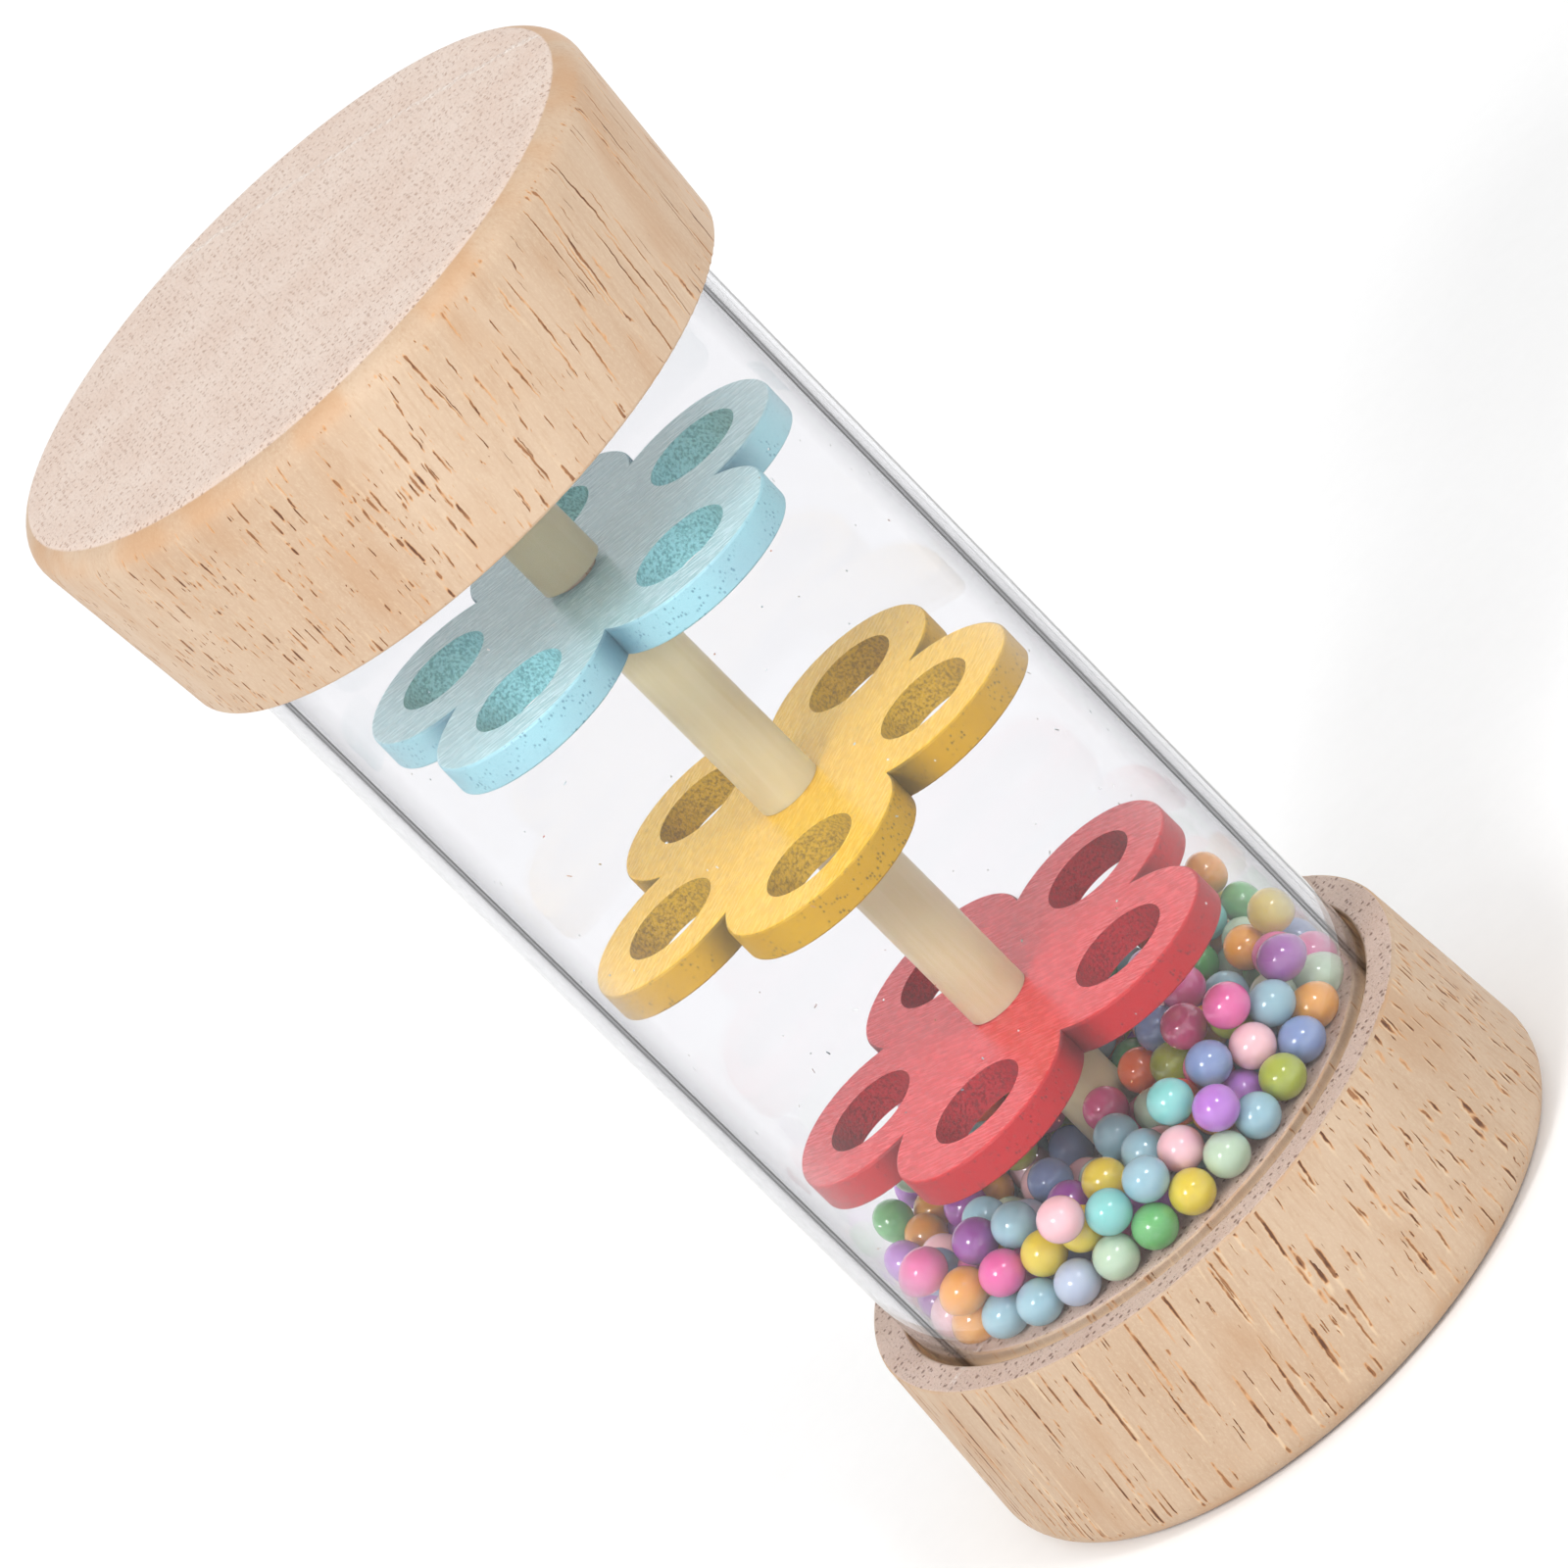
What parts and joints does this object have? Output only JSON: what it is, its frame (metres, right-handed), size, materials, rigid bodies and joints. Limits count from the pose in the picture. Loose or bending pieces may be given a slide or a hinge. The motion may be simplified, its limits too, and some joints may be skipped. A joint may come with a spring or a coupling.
{
  "type": "rainstick",
  "caption": "Upright mini rainstick: clear tube between two turned wooden caps, painted flower discs on a centre rod and loose pastel beads.",
  "frame": {"origin": "centre of the lower cap's flat end face, which the stick stands on", "axes": "+Z along the stick's axis, up from the lower cap to the upper cap; +Y away from the side that faces a viewer in front"},
  "size_m": [0.0596, 0.0596, 0.1233],
  "materials": {
    "cap_wood": "fine sanded pale hardwood, unvarnished, with dark pores along the grain",
    "tube_acrylic": "clear polished acrylic",
    "rod_wood": "plain dowel",
    "spacer_milky": "milky translucent plastic, semi-gloss",
    "flower_red": "brushed thin red paint, grain showing",
    "flower_yellow": "brushed thin yellow paint, grain showing",
    "flower_blue": "brushed thin pale blue paint, grain showing",
    "bead_blush": "glossy pastel plastic, a little translucent",
    "bead_hot_pink": "glossy pastel plastic, a little translucent",
    "bead_magenta": "glossy pastel plastic, a little translucent",
    "bead_purple": "glossy pastel plastic, a little translucent",
    "bead_lavender": "glossy pastel plastic, a little translucent",
    "bead_periwinkle": "glossy pastel plastic, a little translucent",
    "bead_pale_blue": "glossy pastel plastic, a little translucent",
    "bead_sky_blue": "glossy pastel plastic, a little translucent",
    "bead_aqua": "glossy pastel plastic, a little translucent",
    "bead_mint": "glossy pastel plastic, a little translucent",
    "bead_green": "glossy pastel plastic, a little translucent",
    "bead_lime": "glossy pastel plastic, a little translucent",
    "bead_yellow": "glossy pastel plastic, a little translucent",
    "bead_amber": "glossy pastel plastic, a little translucent",
    "bead_orange": "glossy pastel plastic, a little translucent"
  },
  "bodies": {
    "stick": {"bottom_cap": "cap_wood", "top_cap": "cap_wood", "tube": "tube_acrylic", "centre_rod": "rod_wood", "spacer_bottom": "spacer_milky", "spacer_yellow_red": "spacer_milky", "spacer_blue_yellow": "spacer_milky", "spacer_top": "spacer_milky"},
    "red_disc": {"red_flower": "flower_red"},
    "yellow_disc": {"yellow_flower": "flower_yellow"},
    "blue_disc": {"blue_flower": "flower_blue"},
    "bead_load": {"beads_blush": "bead_blush", "beads_hot_pink": "bead_hot_pink", "beads_magenta": "bead_magenta", "beads_purple": "bead_purple", "beads_lavender": "bead_lavender", "beads_periwinkle": "bead_periwinkle", "beads_pale_blue": "bead_pale_blue", "beads_sky_blue": "bead_sky_blue", "beads_aqua": "bead_aqua", "beads_mint": "bead_mint", "beads_green": "bead_green", "beads_lime": "bead_lime", "beads_yellow": "bead_yellow", "beads_amber": "bead_amber", "beads_orange": "bead_orange"}
  },
  "joints": [
    {"name": "red_disc_spin", "type": "hinge", "parent": "stick", "child": "red_disc", "pos_m": [0, 0, 0.0351], "axis": [0, 0, 1], "continuous": true},
    {"name": "yellow_disc_spin", "type": "hinge", "parent": "stick", "child": "yellow_disc", "pos_m": [0, 0, 0.0613], "axis": [0, 0, 1], "continuous": true},
    {"name": "blue_disc_spin", "type": "hinge", "parent": "stick", "child": "blue_disc", "pos_m": [0, 0, 0.0875], "axis": [0, 0, 1], "continuous": true},
    {"name": "bead_swirl", "type": "hinge", "parent": "stick", "child": "bead_load", "pos_m": [0, 0, 0.0215], "axis": [0, 0, 1], "continuous": true}
  ]
}
